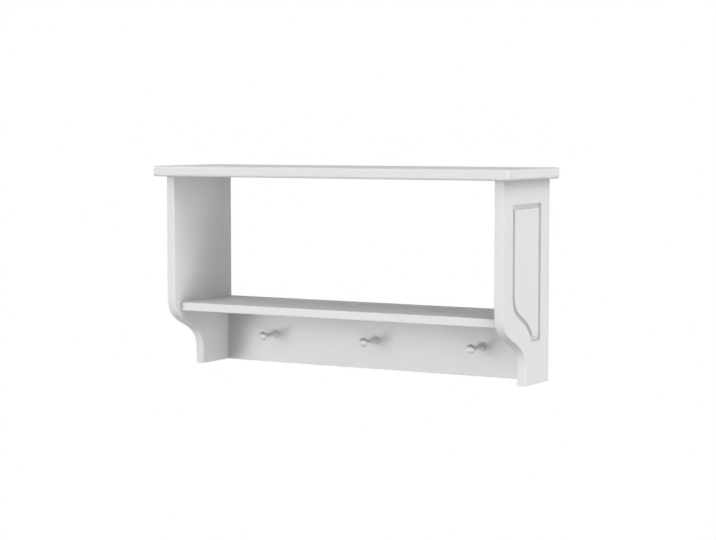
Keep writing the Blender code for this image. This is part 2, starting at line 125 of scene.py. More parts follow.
def round_corners(corners, radii, steps):
    """A flat outline with its square corners rounded, each by its own radius."""
    points = []
    for index, corner in enumerate(corners):
        corner, radius = Vector(corner), radii[index]
        if radius == 0:
            points.append(tuple(corner))
            continue
        back = (Vector(corners[index - 1]) - corner).normalized() * radius
        onward = (Vector(corners[(index + 1) % len(corners)]) - corner).normalized() * radius
        points += [tuple(corner + back * near + onward * far) for near, far in quarter_round(1, steps)]
    return points


print("an edge rounded by 5 mm, in 2 steps, in mm:", in_millimetres(quarter_round(0.005, 2)))

# %% [markdown]
# A piece becomes an object only once. Its holes are cut with an exact Boolean whose result is written
# into the mesh, so no cutter stays in the scene. Smooth shading alone would make a wide flat board look
# like a pillow, because its rounded rim pulls the shading over the whole face. The Weighted Normal
# modifier gives the large faces the last word, so flats stay flat and only the rims turn.

# %% From rings to a piece of the shelf
SHARP_ANGLE = math.radians(38)


def mesh_from(name, bm):
    """A mesh with all its faces looking out."""
    bmesh.ops.recalc_face_normals(bm, faces=bm.faces)
    mesh = bpy.data.meshes.new(name)
    bm.to_mesh(mesh)
    bm.free()
    return mesh


def cut_out(piece, cutter_bm):
    """Takes a cutter out of a piece for good."""
    cutter = bpy.data.objects.new("cutter", mesh_from("cutter", cutter_bm))
    scene.collection.objects.link(cutter)
    cut = piece.modifiers.new("cut", "BOOLEAN")
    cut.operation = "DIFFERENCE"
    cut.solver = "EXACT"
    cut.object = cutter
    evaluated = piece.evaluated_get(bpy.context.evaluated_depsgraph_get())
    carved = bpy.data.meshes.new_from_object(evaluated)
    piece.modifiers.clear()
    piece.data = carved
    bpy.data.objects.remove(cutter)


def make_piece(name, bm, finish, node, cutters=(), place=None):
    """An object that stands for one piece of the frame and rides on the shelf."""
    piece = bpy.data.objects.new(name, mesh_from(name, bm))
    scene.collection.objects.link(piece)
    for cutter in cutters:
        cut_out(piece, cutter)
    mesh = piece.data
    mesh.name = name
    mesh.materials.clear()
    mesh.materials.append(finish)
    mesh.polygons.foreach_set("material_index", [0] * len(mesh.polygons))
    mesh.shade_smooth()
    mesh.set_sharp_from_angle(angle=SHARP_ANGLE)
    flats = piece.modifiers.new("flats_stay_flat", "WEIGHTED_NORMAL")
    flats.keep_sharp = True
    if place is not None:
        piece.matrix_world = place
    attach(piece, "root")
    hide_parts(node)
    print(f"{name}: {len(mesh.polygons)} faces")
    return piece


print("edges stay crisp above", round(math.degrees(SHARP_ANGLE)), "degrees")

# %% [markdown]
# Every finish is built from shader nodes. Each node and link could be written out, but that takes many
# lines. These helpers add one node, feed it and hand back the socket that the next node needs, so that a
# finish reads like a recipe. The first of them do arithmetic with numbers, places and directions.

# %% Node helpers
def add_node(tree, kind, feeds=None, **options):
    """Adds a node. A socket that is fed becomes a link, and anything else is set as a value."""
    made = tree.nodes.new("ShaderNode" + kind)
    for option, value in options.items():
        setattr(made, option, value)
    for name, value in (feeds or {}).items():
        if isinstance(value, bpy.types.NodeSocket):
            tree.links.new(value, made.inputs[name])
        else:
            made.inputs[name].default_value = value
    return made


def maths(tree, operation, first, second=0.0):
    """One step of arithmetic."""
    return add_node(tree, "Math", {0: first, 1: second}, operation=operation).outputs[0]


def blend_of(tree, *parts):
    """Adds up masks, each with its own share."""
    total = None
    for mask, share in parts:
        scaled = maths(tree, "MULTIPLY", mask, share)
        total = scaled if total is None else maths(tree, "ADD", total, scaled)
    return total


def stretch(tree, place, factors):
    """A place with each axis multiplied by its own factor."""
    return add_node(tree, "VectorMath", {0: place, 1: factors}, operation="MULTIPLY").outputs["Vector"]


def likeness(tree, first, second):
    """1 where two directions agree, and 0 where they are square to each other."""
    return add_node(tree, "VectorMath", {0: first, 1: second}, operation="DOT_PRODUCT").outputs["Value"]


print("node helpers ready: add_node, maths, blend_of, stretch, likeness")

# %% [markdown]
# Three things make up most of a finish: noise gives it texture, a ramp turns a value into a mask, and a
# mix lays one colour over another by such a mask. Colour ramps with many stops could do it too, but two
# plain ends are easier to read and to change. A Mix node has sockets of one name for numbers, vectors and
# colours, so its colours are reached by their numbers.

# %% Masks and colours
COLOUR_A, COLOUR_B, COLOUR_RESULT = 6, 7, 2


def noise(tree, place, per_metre, detail):
    """Soft lumps between 0 and 1, so many to the metre."""
    feeds = {"Vector": place, "Scale": per_metre, "Detail": detail}
    return add_node(tree, "TexNoise", feeds).outputs["Fac"]


def ramp(tree, value, start, end):
    """A mask that is 0 before the start, 1 past the end and even in between."""
    feeds = {"Value": value, "From Min": start, "From Max": end}
    return add_node(tree, "MapRange", feeds).outputs["Result"]


def between(tree, mask, low, high):
    """Turns a mask from 0 to 1 into a range of values."""
    return add_node(tree, "MapRange", {"Value": mask, "To Min": low, "To Max": high}).outputs["Result"]


def mix_colour(tree, factor, first, second):
    """A colour between two others, each a socket or a plain colour."""
    mixed = add_node(tree, "Mix", {"Factor": factor}, data_type="RGBA")
    for socket, colour in ((mixed.inputs[COLOUR_A], first), (mixed.inputs[COLOUR_B], second)):
        if isinstance(colour, bpy.types.NodeSocket):
            tree.links.new(colour, socket)
        else:
            socket.default_value = (*colour, 1.0)
    return mixed.outputs[COLOUR_RESULT]


def laid_over(tree, colour, mask, share, other):
    """A colour that gives way to another where the mask says so, up to a share of it."""
    return mix_colour(tree, maths(tree, "MULTIPLY", mask, share), colour, other)


print("mask and colour helpers ready: noise, ramp, between, mix_colour, laid_over")

# %% [markdown]
# An effect that several finishes share, such as paint texture, is a node group: it is built once, its
# sockets have names, and each finish places it with values of its own. Its nodes could be copied into
# every material, but then a change would have to be made in all of them. The shader itself stays in the
# material.

# %% Groups and finishes
def new_group(name, inputs, outputs):
    """A node group with named sockets, and the two nodes that stand for its ends."""
    group = bpy.data.node_groups.new(name, "ShaderNodeTree")
    for label, kind in inputs:
        group.interface.new_socket(label, in_out="INPUT", socket_type="NodeSocket" + kind)
    for label, kind in outputs:
        group.interface.new_socket(label, in_out="OUTPUT", socket_type="NodeSocket" + kind)
    return group, group.nodes.new("NodeGroupInput").outputs, group.nodes.new("NodeGroupOutput").inputs


def use_group(tree, group, feeds):
    """Places a group in a material and gives its outputs."""
    return add_node(tree, "Group", feeds, node_tree=group).outputs


def new_finish(name):
    """A material, its tree, its shader, and the place on the piece that patterns start from."""
    material = bpy.data.materials.new(name)
    material.use_nodes = True
    tree = material.node_tree
    place = add_node(tree, "TexCoord").outputs["Object"]
    return material, tree, tree.nodes["Principled BSDF"], place


def feed_shader(tree, shader, colour, roughness, height, bump):
    """Gives a shader its colour, its roughness and a bump of some strength and depth."""
    strength, depth = bump
    bumped = add_node(tree, "Bump", {"Height": height, "Strength": strength, "Distance": depth})
    tree.links.new(colour, shader.inputs["Base Color"])
    tree.links.new(roughness, shader.inputs["Roughness"])
    tree.links.new(bumped.outputs["Normal"], shader.inputs["Normal"])


print("group and finish helpers ready: new_group, use_group, new_finish, feed_shader")

# %% [markdown]
# The boards are sprayed with a satin white. Up close such paint is never quite even: it has a fine
# stipple, a slow wave like the skin of an orange, and faint lines where the board was sanded along its
# length. A picture of paint would show these too, but only at one scale, so here noise makes them: noises
# of different sizes go into one group that gives a height, a tint and a gloss. Each noise has its lumps
# per metre and its detail.

# %% Paint texture group
STIPPLE = (700.0, 2.0)
PEEL = (130.0, 1.0)
CLOUD = (8.0, 4.0)
STROKES = (1.0, 3.0)

paint_skin, given, gives = new_group(
    "paint_skin",
    [("Position", "Vector"), ("Stroke", "Vector")],
    [("Height", "Float"), ("Tint", "Float"), ("Gloss", "Float")],
)
stipple, peel, cloud = [noise(paint_skin, given["Position"], *lumps) for lumps in (STIPPLE, PEEL, CLOUD)]
strokes = noise(paint_skin, stretch(paint_skin, given["Position"], given["Stroke"]), *STROKES)
for label, parts in (
    ("Height", ((stipple, 0.35), (peel, 0.40), (strokes, 0.25))),
    ("Tint", ((cloud, 0.65), (strokes, 0.35))),
    ("Gloss", ((cloud, 0.45), (peel, 0.25), (stipple, 0.30))),
):
    paint_skin.links.new(blend_of(paint_skin, *parts), gives[label])
print("paint_skin:", len(paint_skin.nodes), "nodes")

# %% [markdown]
# Edges are where a finish gives way first: paint is thin there, and plating is rubbed bright. Painting a
# mask by hand would fit only this one mesh. The Bevel node finds edges by itself: it rounds the normal
# near an edge, so the more the rounded normal differs from the true one, the nearer an edge is. Noise
# breaks the line up.

# %% Worn edge group
BEVEL_SAMPLES = 6
ALIKE_ON_FLAT, ALIKE_AT_EDGE = 0.995, 0.80
SPOT_DETAIL = 4.0
SPOTS_FROM, SPOTS_TO = 0.42, 0.68

edge_rub, given, gives = new_group(
    "edge_rub", [("Position", "Vector"), ("Width", "Float"), ("Breakup", "Float")], [("Mask", "Float")]
)
rounded = add_node(edge_rub, "Bevel", {"Radius": given["Width"]}, samples=BEVEL_SAMPLES).outputs["Normal"]
true_normal = add_node(edge_rub, "NewGeometry").outputs["True Normal"]
turned_away = ramp(edge_rub, likeness(edge_rub, rounded, true_normal), ALIKE_ON_FLAT, ALIKE_AT_EDGE)
patchy = noise(edge_rub, given["Position"], given["Breakup"], SPOT_DETAIL)
spots = ramp(edge_rub, patchy, SPOTS_FROM, SPOTS_TO)
edge_rub.links.new(maths(edge_rub, "MULTIPLY", turned_away, spots), gives["Mask"])
print("edge_rub:", len(edge_rub.nodes), "nodes")

# %% [markdown]
# Inner corners, where two boards meet, are painted a little greyer than the open face. This is painted
# shade: it stands in for the shade that falls in a corner. A mask painted by hand would fit one corner
# only. The Ambient Occlusion node finds every corner by itself: it measures how much of the view from a
# point is blocked within a short reach. Noise keeps it uneven.

# %% Painted corner shade group
VIEW_SAMPLES = 8
VIEW_IN_OPEN, VIEW_IN_CORNER = 1.0, 0.4
SHADE_BREAKUP_DETAIL = 3.0
SHADE_BREAKUP_LOW, SHADE_BREAKUP_HIGH = 0.8, 1.2

painted_corner_shade, given, gives = new_group(
    "painted_corner_shade", [("Position", "Vector"), ("Reach", "Float"), ("Breakup", "Float")], [("Mask", "Float")]
)
# painted shade: the less of the view from a point is open, the more its paint turns grey
view = add_node(painted_corner_shade, "AmbientOcclusion", {"Distance": given["Reach"]}, samples=VIEW_SAMPLES)
shut_in = ramp(painted_corner_shade, view.outputs["AO"], VIEW_IN_OPEN, VIEW_IN_CORNER)
shade_breakup = noise(painted_corner_shade, given["Position"], given["Breakup"], SHADE_BREAKUP_DETAIL)
uneven_shade = between(painted_corner_shade, shade_breakup, SHADE_BREAKUP_LOW, SHADE_BREAKUP_HIGH)
painted_corner_shade.links.new(maths(painted_corner_shade, "MULTIPLY", shut_in, uneven_shade), gives["Mask"])
print("painted_corner_shade:", len(painted_corner_shade.nodes), "nodes")

# %% [markdown]
# Now the paint itself. One recipe serves all the boards, but each kind of board has its own finish,
# because the sanding lines follow its length: along the shelf on the top board, the lower shelf and the
# rail, and up and down on the uprights. One paint for all would run across the grain on some of them. The
# recipe also says how much painted shade darkens inner corners and faces that look up, which the channel
# of the uprights will need.

# %% Four paint finishes
PAINT_WHITES = ((0.806, 0.806, 0.806), (0.788, 0.788, 0.788))
PRIMER_GREY = (0.70, 0.70, 0.695)
# the grey that painted shade darkens the paint towards, in inner corners and on faces that look up
PAINTED_SHADE_GREY = (0.45, 0.45, 0.44)
SATIN = (0.52, 0.68)
SOFT_SATIN = (0.54, 0.70)
PAINT_SPECULAR = 0.12
PAINT_BUMP = (0.12, 0.0003)
PAINT_EDGE = {"Width": 0.0016, "Breakup": 55.0}
PRIMER_SHARE = 0.20
PAINT_CORNER_SHADE = {"Reach": 0.060, "Breakup": 40.0}
CORNER_SHADE_SHARE = 0.50
NO_PAINTED_SHADE = 0.0
LEDGE_FROM, LEDGE_TO = 0.5, 0.9
ALONG_SHELF = (6.0, 420.0, 420.0)
UP_AND_DOWN = (420.0, 420.0, 6.0)


def paint_finish(name, stroke, gloss, whites=PAINT_WHITES, corners=CORNER_SHADE_SHARE, ledges=NO_PAINTED_SHADE):
    """Satin paint, with its shares of painted shade in inner corners and on faces that look up."""
    material, tree, shader, place = new_finish(name)
    skin = use_group(tree, paint_skin, {"Position": place, "Stroke": stroke})
    edge = use_group(tree, edge_rub, {"Position": place, **PAINT_EDGE})["Mask"]
    coat = mix_colour(tree, skin["Tint"], *whites)
    colour = laid_over(tree, coat, edge, PRIMER_SHARE, PRIMER_GREY)
    # painted shade: inner corners are darkened towards grey
    if corners:
        corner = use_group(tree, painted_corner_shade, {"Position": place, **PAINT_CORNER_SHADE})["Mask"]
        colour = laid_over(tree, colour, corner, corners, PAINTED_SHADE_GREY)
    # painted shade: faces that look up are darkened towards grey
    if ledges:
        normal = add_node(tree, "NewGeometry").outputs["True Normal"]
        looks_up = add_node(tree, "SeparateXYZ", {"Vector": normal}).outputs["Z"]
        colour = laid_over(tree, colour, ramp(tree, looks_up, LEDGE_FROM, LEDGE_TO), ledges, PAINTED_SHADE_GREY)
    feed_shader(tree, shader, colour, between(tree, skin["Gloss"], *gloss), skin["Height"], PAINT_BUMP)
    shader.inputs["Specular IOR Level"].default_value = PAINT_SPECULAR
    print(f"{name}: {len(tree.nodes)} nodes")
    return material


top_paint = paint_finish("top_board_paint", ALONG_SHELF, SATIN)
upright_paint = paint_finish("upright_paint", UP_AND_DOWN, SOFT_SATIN)
shelf_paint = paint_finish("lower_shelf_paint", ALONG_SHELF, SATIN)
rail_paint = paint_finish("peg_rail_paint", ALONG_SHELF, SOFT_SATIN)

# %% [markdown]
# Dowels hold the boards together, and each of them needs a bore in two boards. The bores can't be seen,
# but a part that is taken to pieces should have them. Their places could be typed in for each board. Each
# dowel of the frame gives its own axis and length, though, so one cutter is made from all of them and
# taken out of every board.

# %% Bores for the dowels
BORE_CLEARANCE = 0.0003
BORE_END_GAP = 0.0006
BORE_SEGMENTS = 24
dowel_nodes = sorted(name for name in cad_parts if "dowel" in name)


def dowel_axis(node):
    """A dowel's start, its direction, its length and its radius, read from its box in the frame."""
    low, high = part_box(node)
    size = high - low
    axis = max(range(3), key=lambda index: size[index])
    middle, direction = (low + high) / 2, Vector((0, 0, 0))
    direction[axis] = 1.0
    return middle - direction * size[axis] / 2, direction, size[axis], min(size) / 2


def circle(radius, height, segments):
    """The points of a level circle about the Z axis."""
    turns = [math.tau * index / segments for index in range(segments)]
    return [Vector((radius * math.cos(turn), radius * math.sin(turn), height)) for turn in turns]


def stand(start, direction):
    """The matrix that lays a piece, built upright on the origin, along a direction."""
    return Matrix.Translation(start) @ direction.to_track_quat("Z", "Y").to_matrix().to_4x4()


def dowel_bores():
    """One cutter with a rod for every dowel, a clearance wider and longer."""
    bm = bmesh.new()
    for node in dowel_nodes:
        start, direction, length, radius = dowel_axis(node)
        place = stand(start, direction)
        ends = (-BORE_END_GAP, length + BORE_END_GAP)
        rows = [circle(radius + BORE_CLEARANCE, end, BORE_SEGMENTS) for end in ends]
        add_solid(bm, [add_ring(bm, [place @ point for point in row]) for row in rows])
    return bm


print("dowels:", len(dowel_nodes))

# %% [markdown]
# The top board overhangs the uprights at the front and at both ends, and its edges there are rounded
# over, top and bottom, as with a router. Its front corners are a little round in plan too, and at the
# wall it stays square. A bevelled cube would need its edges chosen one by one. The rings go up the board
# instead: out along the rounding below, straight up the edge, and in along the rounding above.

# %% Top board
TOP_CORNER = 0.0065
TOP_ROUND = 0.005
ROUND_STEPS = 9


def rounded_layers(low, high, radius, steps):
    """The layers of a board rounded at both faces, as (how far set in, where), from low to high."""
    edge = quarter_round(radius, steps)
    upwards = [(inset, low + rise) for inset, rise in edge]
    return upwards + [(inset, high - rise) for inset, rise in reversed(edge)]


def top_plan(low, high, inset):
    """The board from above, set in at the front and the ends but not at the wall."""
    left, right, front = low.x + inset, high.x - inset, low.y + inset
    corners = [(right, high.y), (left, high.y), (left, front), (right, front)]
    return round_corners(corners, (0, 0, TOP_CORNER - inset, TOP_CORNER - inset), ROUND_STEPS)


low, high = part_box("top_board")
bm = bmesh.new()
rings = []
for inset, z in rounded_layers(low.z, high.z, TOP_ROUND, ROUND_STEPS):
    rings.append(add_ring(bm, [(x, y, z) for x, y in top_plan(low, high, inset)]))
add_solid(bm, rings)
make_piece("painted_top_board", bm, top_paint, "top_board", [dowel_bores()])

# %% [markdown]
# The lower shelf and the peg rail fit between the uprights, so their ends are square and only the edges
# that a hand can reach are eased. A bevel on a cube would ease the ends as well. So each board is one
# outline, as seen from its end, drawn from upright to upright.

# %% Lower shelf
EASED_STEPS = 6
SHELF_EASE = 0.002


def board_between(node, upper_ease, lower_ease):
    """A board between the uprights, square at the wall and eased along its front edges."""
    low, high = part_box(node)
    corners = [(high.y, low.z), (high.y, high.z), (low.y, high.z), (low.y, low.z)]
    outline = round_corners(corners, (0, 0, upper_ease, lower_ease), EASED_STEPS)
    made = bmesh.new()
    add_solid(made, [add_ring(made, [(x, *point) for point in outline]) for x in (low.x, high.x)])
    return made


shelf_board = board_between("lower_shelf", SHELF_EASE, SHELF_EASE)
make_piece("painted_lower_shelf", shelf_board, shelf_paint, "lower_shelf", [dowel_bores()])

# %% [markdown]
# Screws come next, before the rail, because the rail and the keyhole plates need holes that fit them.
# They are countersunk: a straight shank, a cone under a flat head, and a cross-shaped recess for the
# driver. Screw and hole could be drawn apart, but then they might not fit. One profile, turned about its
# axis, makes the screw, and the same profile grown by a clearance makes the hole for it.

# %% Screw shapes
SCREW_CLEARANCE = 0.0003
SCREW_SEGMENTS = 40
CUT_BEYOND = 0.002
PEG_SCREW = {"shank": 0.005, "head": 0.0092, "length": 0.020, "tip": 0.003, "recess": 0.0024}
HANGER_SCREW = {"shank": 0.003, "head": 0.0058, "length": 0.016, "tip": 0.001, "recess": 0.0015}


def add_turning(bm, profile, segments, place=Matrix.Identity(4)):
    """Turns (radius, height) pairs about the Z axis. The first and the last pair lie on the axis."""
    rings = []
    for radius, height in profile[1:-1]:
        rings.append(add_ring(bm, [place @ point for point in circle(radius, height, segments)]))
    add_skin(bm, rings)
    for (_, height), ring in ((profile[0], rings[0]), (profile[-1], rings[-1])):
        pole = bm.verts.new(place @ Vector((0, 0, height)))
        for index in range(segments):
            bm.faces.new((ring[index - 1], ring[index], pole))


def screw_profile(size, grow):
    """From the tip up to the edge of the flat head."""
    shank, head, tip = (size[part] / 2 + grow for part in ("shank", "head", "tip"))
    shoulder = size["shank"] - size["tip"]
    neck = size["length"] - (size["head"] - size["shank"]) / 2
    return [(0.0, -grow), (tip, -grow), (shank, shoulder), (shank, neck), (head, size["length"])]


def screw_place(node, size):
    """A screw of the frame points away from the wall: where its tip is, and which way its head looks."""
    low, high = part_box(node)
    tip = Vector(((low.x + high.x) / 2, high.y - size["length"], (low.z + high.z) / 2))
    return stand(tip, Vector((0, 1, 0)))


def screw_rooms(nodes, size):
    """Cutters with the shape of the screws, a clearance wider and open towards the wall."""
    bm = bmesh.new()
    profile = screw_profile(size, SCREW_CLEARANCE)
    mouth = size["length"] + CUT_BEYOND
    profile += [(profile[-1][0], mouth), (0.0, mouth)]
    for node in nodes:
        add_turning(bm, profile, SCREW_SEGMENTS, screw_place(node, size))
    return bm


peg_screws = sorted(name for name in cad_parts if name.startswith("peg_screw"))
hanger_screws = sorted(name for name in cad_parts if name.startswith("hanger_screw"))
print("screws:", len(peg_screws), "for the pegs,", len(hanger_screws), "for the keyhole plates")

# %% [markdown]
# The rail closes the back under the lower shelf and carries the pegs. It is made like the shelf, but only
# its lower front edge is in reach, so only that one is eased. Its back has three countersunk holes, which
# the screws of the pegs come through.

# %% Peg rail
RAIL_EASE = 0.0015

rail_board = board_between("peg_rail", 0, RAIL_EASE)
rail_holes = [dowel_bores(), screw_rooms(peg_screws, PEG_SCREW)]
make_piece("painted_peg_rail", rail_board, rail_paint, "peg_rail", rail_holes)

# %% [markdown]
# The uprights carry the look of the shelf. Their front edge runs straight down past the lower shelf and
# then swings back in an ogee, an S-shaped curve, to a narrow leg. Two arcs could make it, but the bend
# would jump where they meet, so one cubic curve with upright ends gives the whole S. The edge all round
# is eased with a small radius, except at the wall and under the top board, where the upright meets
# something.

# %% Outline of an upright
OGEE_LEAD = 0.009
OGEE_DROP = 0.107
OGEE_HANDLE = 0.065
LEG_DEPTH = 0.0995
OGEE_STEPS = 48
STRAIGHT_ON = 1e-9

shelf_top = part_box("lower_shelf")[1].z
upright_low, upright_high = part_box("right_side_panel")


def curve(start, start_handle, end_handle, end, steps):
    """Points along a cubic curve, with both its ends."""
    return [tuple(point) for point in interpolate_bezier(start, start_handle, end_handle, end, steps)]


def upright_outline():
    """An upright from the side, as (depth, height), from its back foot up, over and down the ogee."""
    back, front, foot, head = upright_high.y, upright_low.y, upright_low.z, upright_high.z
    shoulder = (front, shelf_top + OGEE_LEAD)
    toe = (-LEG_DEPTH, shoulder[1] - OGEE_DROP)
    below, above = (front, shoulder[1] - OGEE_HANDLE), (toe[0], toe[1] + OGEE_HANDLE)
    ogee = curve(shoulder, below, above, toe, OGEE_STEPS)
    return [(back, foot), (back, head), (front, head)] + ogee + [(-LEG_DEPTH, foot)]


def set_in(outline, distances):
    """A closed outline moved inwards, each of its sides by its own distance."""
    points = [Vector(point) for point in outline]
    count = len(points)
    normals = []
    for index in range(count):
        run = (points[(index + 1) % count] - points[index]).normalized()
        normals.append(Vector((-run.y, run.x)))
    moved = []
    for index, point in enumerate(points):
        before, after = normals[index - 1], normals[index]
        first, second = distances[index - 1], distances[index]
        alike = before.dot(after)
        spare = 1 - alike * alike
        if spare < STRAIGHT_ON:
            moved.append(tuple(point + after * second))
            continue
        shift = before * (first - alike * second) + after * (second - alike * first)
        moved.append(tuple(point + shift / spare))
    return moved


outline = upright_outline()
print("upright outline:", len(outline), "points")

# %% [markdown]
# A channel, square in section, is routed into the outer face. It runs level below the top board, straight
# down the front and the back, and its front run swings back at the foot in a smaller ogee of its own, so
# that it frames a panel. A Boolean could cut it, but its lips could then not be eased cleanly. Here the
# channel is part of the skin: rings go over the outer lip, down the wall, across the floor, up again and
# over the inner lip.

# %% Channel of an upright
CHANNEL_WIDTH = 0.009
CHANNEL_DEPTH = 0.007
CHANNEL_INSET = 0.0425
CHANNEL_TOP_INSET = 0.0475
CHANNEL_LEAD = 0.041
CHANNEL_FALL = 0.044
CHANNEL_FOOT = 0.0305
CHANNEL_HANDLE = 0.052
CHANNEL_SLANT = math.radians(25)
CHANNEL_LIP = 0.0005
LIP_STEPS = 3


def channel_path():
    """The middle of the channel as (depth, height), from its top back corner forwards, down and back."""
    top = upright_high.z - CHANNEL_TOP_INSET
    front = upright_low.y + CHANNEL_INSET
    back = upright_high.y - CHANNEL_INSET
    start = (front, shelf_top + CHANNEL_LEAD)
    end = (back - CHANNEL_FOOT, shelf_top - CHANNEL_FALL)
    below = (front, start[1] - CHANNEL_HANDLE)
    lean = (math.sin(CHANNEL_SLANT) * CHANNEL_HANDLE, math.cos(CHANNEL_SLANT) * CHANNEL_HANDLE)
    above = (end[0] - lean[0], end[1] + lean[1])
    return [(back, top), (front, top)] + curve(start, below, above, end, OGEE_STEPS) + [(back, end[1])]


def channel_section():
    """From the outer lip to the inner one, as (distance from the middle, depth below the face)."""
    half = CHANNEL_WIDTH / 2
    edge = quarter_round(CHANNEL_LIP, LIP_STEPS)
    lip = [(-half - inset, drop) for inset, drop in edge]
    corner = [(drop - half, CHANNEL_DEPTH - inset) for inset, drop in edge]
    outer = lip + corner
    return outer + [(-distance, drop) for distance, drop in reversed(outer)]


channel = channel_path()
section = channel_section()
print("channel section in mm:", in_millimetres(section))

# %% [markdown]
# At the wall side of each upright, a recess takes the keyhole plate that the shelf hangs from, and a
# deeper pocket behind it gives room for the head of the wall screw. Both are plain blocks, so they are
# cut out after the upright is made, and both take their place from the plate, so that they follow it.

# %% Room for a keyhole plate
PLATE_CLEARANCE = 0.0003
POCKET_DEPTH = 0.0095
POCKET_HALF_WIDTH = 0.0055
POCKET_FLOOR = 0.0095
POCKET_ROOF = 0.0088


def block(low, high):
    """A cutter between two corners."""
    made = bmesh.new()
    plan = ((low.x, low.y), (high.x, low.y), (high.x, high.y), (low.x, high.y))
    add_solid(made, [add_ring(made, [(x, y, z) for x, y in plan]) for z in (low.z, high.z)])
    return made


def plate_screw_rooms(side):
    """The cutters for the two screws of a plate."""
    return screw_rooms([name for name in hanger_screws if side in name], HANGER_SCREW)


def plate_room(side):
    """The cutters for a plate, for the head of the wall screw behind it, and for its own two screws."""
    low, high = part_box(f"hanger_plate_{side}")
    gap = Vector((PLATE_CLEARANCE,) * 3)
    recess = block(low - gap, high + gap + Vector((0, CUT_BEYOND, 0)))
    middle = (low + high) / 2
    below = Vector((middle.x - POCKET_HALF_WIDTH, -POCKET_DEPTH, middle.z - POCKET_FLOOR))
    above = Vector((middle.x + POCKET_HALF_WIDTH, CUT_BEYOND, middle.z + POCKET_ROOF))
    return [recess, block(below, above), plate_screw_rooms(side)]


pocket_size = (2 * POCKET_HALF_WIDTH, POCKET_DEPTH, POCKET_FLOOR + POCKET_ROOF)
print("pocket for a wall screw in mm:", in_millimetres([pocket_size]))

# %% [markdown]
# With the outline and the channel ready, an upright is three skins: the rim from the inner face round to
# the outer one, the channel, and the flat ring between them, which triangles fill. The panel inside the
# channel is one more flat face. An upright could be drawn for each side, but the left one is the right
# one mirrored, so one function makes both.

# %% Uprights
UPRIGHT_EASE = 0.0018
SQUARE_SIDES = 2


def upright(side):
    """An upright. The first two sides of its outline, at the wall and under the top board, stay square."""
    hand = 1 if side == "right" else -1
    outer = upright_high.x
    eased = [0 if index < SQUARE_SIDES else 1 for index in range(len(outline))]
    bm = bmesh.new()
    rim = []
    for inset, x in rounded_layers(upright_low.x, outer, UPRIGHT_EASE, EASED_STEPS):
        row = set_in(outline, [inset * share for share in eased])
        rim.append(add_ring(bm, [(hand * x, *point) for point in row]))
    add_skin(bm, rim)
    bm.faces.new(rim[0])
    groove = []
    for distance, drop in section:
        row = set_in(channel, [distance] * len(channel))
        groove.append(add_ring(bm, [(hand * (outer - drop), *point) for point in row]))
    add_skin(bm, groove)
    bm.faces.new(groove[-1])
    border = []
    for ring in (rim[-1], groove[0]):
        border += [bm.edges.get((ring[index - 1], ring[index])) for index in range(len(ring))]
    bmesh.ops.triangle_fill(bm, use_beauty=True, edges=border)
    cutters = [dowel_bores()] + plate_room(side)
    name, node = f"painted_{side}_upright", f"{side}_side_panel"
    return make_piece(name, bm, upright_paint, node, cutters)


uprights = {side: upright(side) for side in ("left", "right")}

# %% [markdown]
# The walls of the channel get a greyer copy of the paint, and the faces on them that look up are greyer
# still: this is painted shade. The floor of the channel gets a whiter copy, which is painted light. So
# the faces in the channel get two finishes of their own. They are the recipe of the other paints with
# other whites, and each face is chosen by where it lies and how it stands.

# %% Paint in the channel
# a greyer white on the channel walls is painted shade, a whiter one on its floor is painted light
SHADED_WALL_WHITES = ((0.745, 0.745, 0.743), (0.725, 0.725, 0.723))
LIT_FLOOR_WHITES = ((0.860, 0.860, 0.858), (0.840, 0.840, 0.838))
DULL = (0.60, 0.76)
# how much painted shade darkens the channel faces that look up
LEDGE_SHADE = 0.6
FACES_OUT = 0.7
BELOW_LIP = 0.001
WALL_SLOT, FLOOR_SLOT = 1, 2


def in_channel(face):
    """True for a face that lies below the lips of the channel, on its walls or its floor."""
    drop = upright_high.x - abs(face.center.x)
    if not BELOW_LIP < drop <= CHANNEL_DEPTH + BELOW_LIP:
        return False
    spot = face.center.yz
    for first, second in zip(channel, channel[1:] + channel[:1]):
        near, share = intersect_point_line(spot, first, second)
        if 0 <= share <= 1 and (near.to_2d() - spot).length < CHANNEL_WIDTH:
            return True
    return False


# painted shade on the channel walls, painted light on the channel floor
wall_paint = paint_finish("channel_wall_painted_shade", UP_AND_DOWN, DULL, SHADED_WALL_WHITES, NO_PAINTED_SHADE, LEDGE_SHADE)
floor_paint = paint_finish("channel_floor_painted_light", UP_AND_DOWN, SATIN, LIT_FLOOR_WHITES, NO_PAINTED_SHADE)
for side, piece in uprights.items():
    piece.data.materials.append(wall_paint)
    piece.data.materials.append(floor_paint)
    faces = [face for face in piece.data.polygons if in_channel(face)]
    for face in faces:
        face.material_index = FLOOR_SLOT if abs(face.normal.x) > FACES_OUT else WALL_SLOT
    print(f"{side} channel: {len(faces)} faces")

# %% [markdown]
# The pegs are turned from metal and given a satin nickel finish. The lathe leaves fine rings round the
# axis, which draw the highlights out into bands. Real rings would need thousands of faces, so the shape
# keeps to the turned profile and a one-dimensional noise along the axis gives the rings. The screws are
# turned too, so it is a group.

# %% Turning marks group
FINE_DETAIL, BROAD_DETAIL = 2.0, 1.0
BROAD_SHARE = 0.12
HANDLING = (240.0, 4.0)


def ring_noise(tree, along, per_metre, detail):
    """Noise that changes only along the axis."""
    feeds = {"W": along, "Scale": per_metre, "Detail": detail}
    return add_node(tree, "TexNoise", feeds, noise_dimensions="1D").outputs["Fac"]


